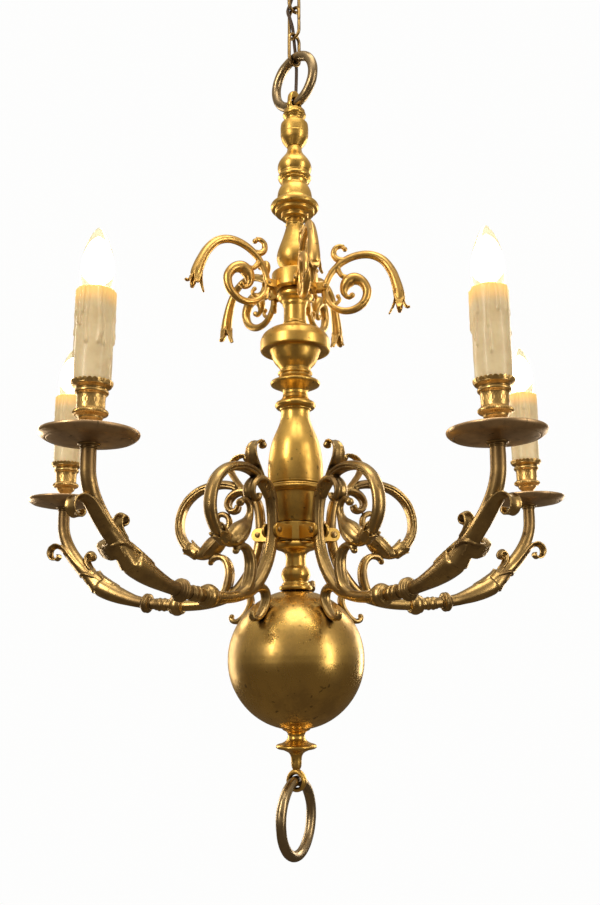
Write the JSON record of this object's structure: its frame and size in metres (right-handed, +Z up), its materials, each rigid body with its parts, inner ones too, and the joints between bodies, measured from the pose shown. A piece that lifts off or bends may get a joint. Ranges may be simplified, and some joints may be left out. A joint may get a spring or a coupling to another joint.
{
  "type": "multi arm chandelier",
  "caption": "Turned brass chandelier on a chain: candle arms with volutes and leaves around a baluster column, small scrolls above, a ball and a pull ring below.",
  "frame": {"origin": "on the ceiling, in the middle of the fixing bar", "axes": "+Z up through the column's axis; -Y is the front, and an arm points straight back along +Y"},
  "size_m": [0.7524, 0.7205, 1.2753],
  "materials": {
    "polished_brass": "polished, with light tarnish in the hollows",
    "aged_brass": "aged brown-gold patina, worn bright on the edges",
    "steel": "zinc plated",
    "cord": "matt brown flex",
    "lampholder": "matt dark brown",
    "wax": "soft satin wax with drips",
    "bulb_glass": "clear glass, lit warm white"
  },
  "bodies": {
    "root": {"ceiling_bar": "steel", "canopy": "aged_brass", "canopy_loop": "aged_brass", "canopy_nut": "steel", "cord_grip": "cord", "supply_cord": "cord"},
    "chain_link_1": {"chain_link_1": "aged_brass"},
    "chain_link_2": {"chain_link_2": "aged_brass"},
    "chain_link_3": {"chain_link_3": "aged_brass"},
    "top_ring": {"top_ring": "polished_brass"},
    "column": {"cord_bush": "cord", "top_finial": "polished_brass", "pear_knop": "polished_brass", "stepped_disc": "polished_brass", "upper_vase": "polished_brass", "upper_hub": "polished_brass", "hub_sleeve": "polished_brass", "broad_disc": "polished_brass", "spool": "polished_brass", "baluster": "polished_brass", "hub_bowl": "polished_brass", "lower_hub": "polished_brass", "ball_neck": "polished_brass", "ball": "polished_brass", "bottom_finial": "polished_brass", "central_rod": "steel", "rod_nuts": "steel", "hub_screws": "aged_brass", "lampholders": "lampholder", "arm_1": "aged_brass", "scroll_1": "polished_brass", "drip_pan_1": "aged_brass", "candle_cup_1": "polished_brass", "candle_sleeve_1": "wax", "arm_2": "aged_brass", "scroll_2": "polished_brass", "drip_pan_2": "aged_brass", "candle_cup_2": "polished_brass", "candle_sleeve_2": "wax", "arm_3": "aged_brass", "scroll_3": "polished_brass", "drip_pan_3": "aged_brass", "candle_cup_3": "polished_brass", "candle_sleeve_3": "wax", "arm_4": "aged_brass", "scroll_4": "polished_brass", "drip_pan_4": "aged_brass", "candle_cup_4": "polished_brass", "candle_sleeve_4": "wax", "arm_5": "aged_brass", "scroll_5": "polished_brass", "drip_pan_5": "aged_brass", "candle_cup_5": "polished_brass", "candle_sleeve_5": "wax"},
    "pull_ring": {"pull_ring": "aged_brass"},
    "bulb_1": {"bulb_1": "bulb_glass"},
    "bulb_2": {"bulb_2": "bulb_glass"},
    "bulb_3": {"bulb_3": "bulb_glass"},
    "bulb_4": {"bulb_4": "bulb_glass"},
    "bulb_5": {"bulb_5": "bulb_glass"}
  },
  "joints": [
    {"name": "chain_link_1_swing", "type": "hinge", "parent": "root", "child": "chain_link_1", "pos_m": [0, 0, -0.0705], "axis": [0.7071, -0.7071, 0], "range_deg": [-30, 30], "deforming": ["supply_cord"]},
    {"name": "chain_link_2_swing", "type": "hinge", "parent": "chain_link_1", "child": "chain_link_2", "pos_m": [0, 0, -0.115], "axis": [0.7071, 0.7071, 0], "range_deg": [-30, 30]},
    {"name": "chain_link_3_swing", "type": "hinge", "parent": "chain_link_2", "child": "chain_link_3", "pos_m": [0, 0, -0.1595], "axis": [0.7071, -0.7071, 0], "range_deg": [-30, 30]},
    {"name": "top_ring_swing", "type": "hinge", "parent": "chain_link_3", "child": "top_ring", "pos_m": [0, 0, -0.204], "axis": [0.7071, 0.7071, 0], "range_deg": [-25, 25]},
    {"name": "column_swing", "type": "hinge", "parent": "top_ring", "child": "column", "pos_m": [0, 0, -0.269], "axis": [0.7071, -0.7071, 0], "range_deg": [-20, 20]},
    {"name": "pull_ring_swing", "type": "hinge", "parent": "column", "child": "pull_ring", "pos_m": [0, 0, -1.185], "axis": [0.4226, 0.9063, 0], "range_deg": [-80, 80]},
    {"name": "bulb_1_turn", "type": "hinge", "parent": "column", "child": "bulb_1", "pos_m": [0.20161, -0.27749, -0.692], "axis": [0, 0, 1], "range_deg": [0, 900]},
    {"name": "bulb_2_turn", "type": "hinge", "parent": "column", "child": "bulb_2", "pos_m": [0.32621, 0.10599, -0.692], "axis": [0, 0, 1], "range_deg": [0, 900]},
    {"name": "bulb_3_turn", "type": "hinge", "parent": "column", "child": "bulb_3", "pos_m": [0, 0.343, -0.692], "axis": [0, 0, 1], "range_deg": [0, 900]},
    {"name": "bulb_4_turn", "type": "hinge", "parent": "column", "child": "bulb_4", "pos_m": [-0.32621, 0.10599, -0.692], "axis": [0, 0, 1], "range_deg": [0, 900]},
    {"name": "bulb_5_turn", "type": "hinge", "parent": "column", "child": "bulb_5", "pos_m": [-0.20161, -0.27749, -0.692], "axis": [0, 0, 1], "range_deg": [0, 900]}
  ]
}
